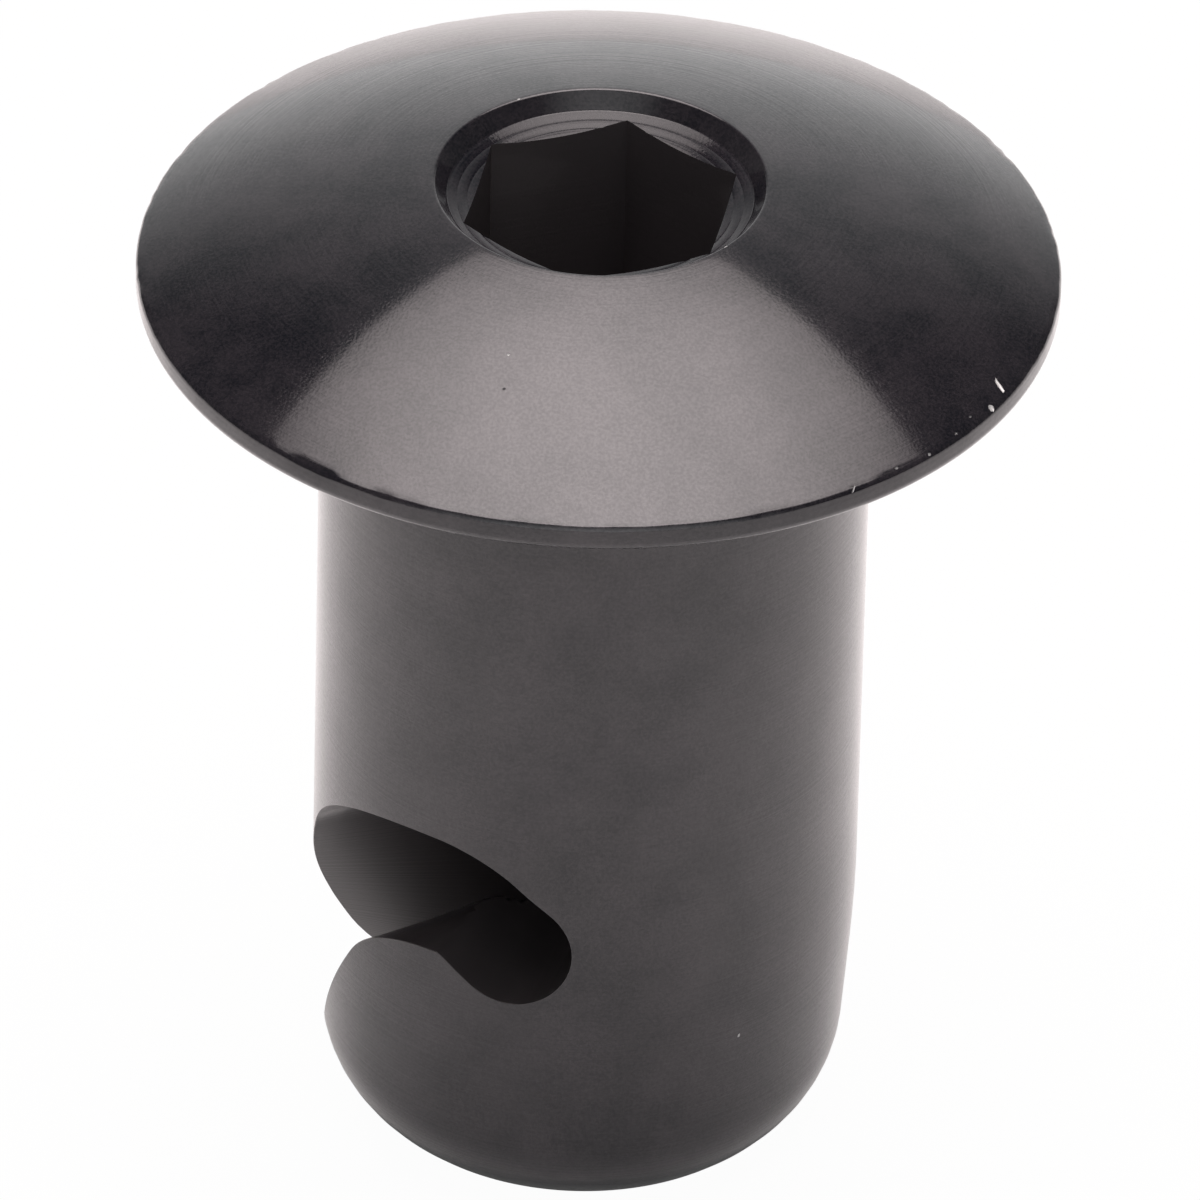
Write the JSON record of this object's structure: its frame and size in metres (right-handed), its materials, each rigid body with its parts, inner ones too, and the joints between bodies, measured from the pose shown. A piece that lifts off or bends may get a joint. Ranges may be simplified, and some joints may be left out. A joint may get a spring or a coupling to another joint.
{
  "type": "quarter-turn fastener stud",
  "caption": "Quarter-turn fastener stud with a domed, lipped head, a hex socket, a plain round shank and a spiral cam slot that hooks a spring wire behind a panel.",
  "frame": {"origin": "centre of the flat nose end, on the shank's axis", "axes": "+Z along the shank's axis from the nose to the head, -Y from the axis through the detent of the cam slot"},
  "size_m": [0.0186, 0.0186, 0.0225],
  "materials": {
    "black_anodised": "satin black anodised over turned and milled aluminium"
  },
  "bodies": {
    "root": {"stud": "black_anodised"}
  },
  "joints": []
}
